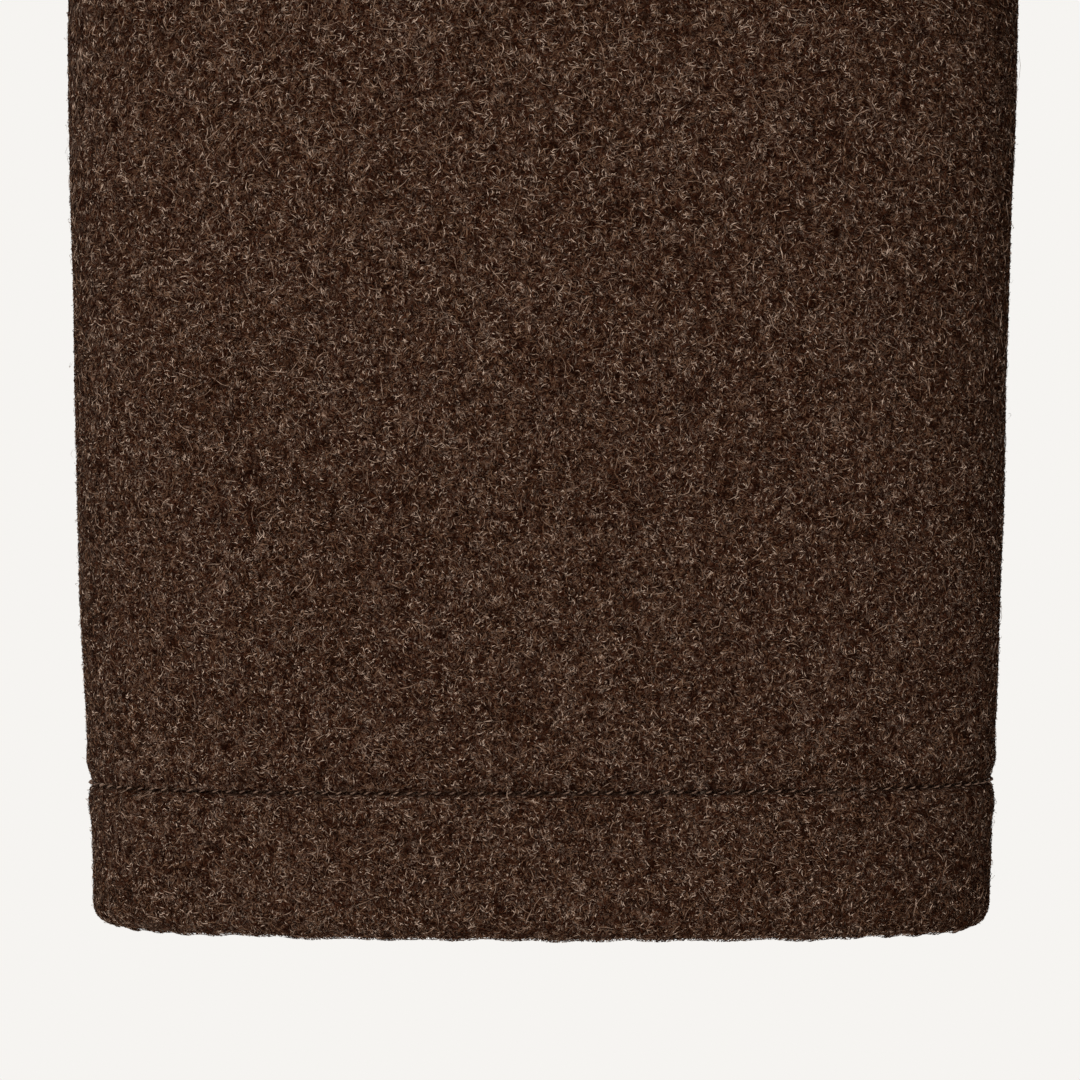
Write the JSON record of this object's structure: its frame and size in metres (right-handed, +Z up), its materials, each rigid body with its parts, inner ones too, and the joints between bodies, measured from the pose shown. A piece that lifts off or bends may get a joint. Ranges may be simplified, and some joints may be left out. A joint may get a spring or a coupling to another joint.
{
  "type": "wool coat",
  "caption": "Hollow single-breasted coat of thick wool cloth with set-in two-piece sleeves, turn-down collar and buttoned front, in worn shape.",
  "frame": {"origin": "middle of the neck, at the height of the shoulder seams' inner ends, where the wearer's shoulders carry the coat", "axes": "+Z up, the front faces -Y, the wearer's left is +X"},
  "size_m": [0.7738, 0.3331, 0.9937],
  "materials": {
    "wool": "heavy felted wool, dark brown melange with a short loose nap",
    "horn": "polished dark brown horn"
  },
  "bodies": {
    "root": {"front_left": "wool", "front_right": "wool", "back": "wool", "top_sleeve_left": "wool", "under_sleeve_left": "wool", "top_sleeve_right": "wool", "under_sleeve_right": "wool", "collar": "wool", "button_1": "horn", "button_2": "horn", "button_3": "horn", "button_4": "horn"}
  },
  "joints": []
}
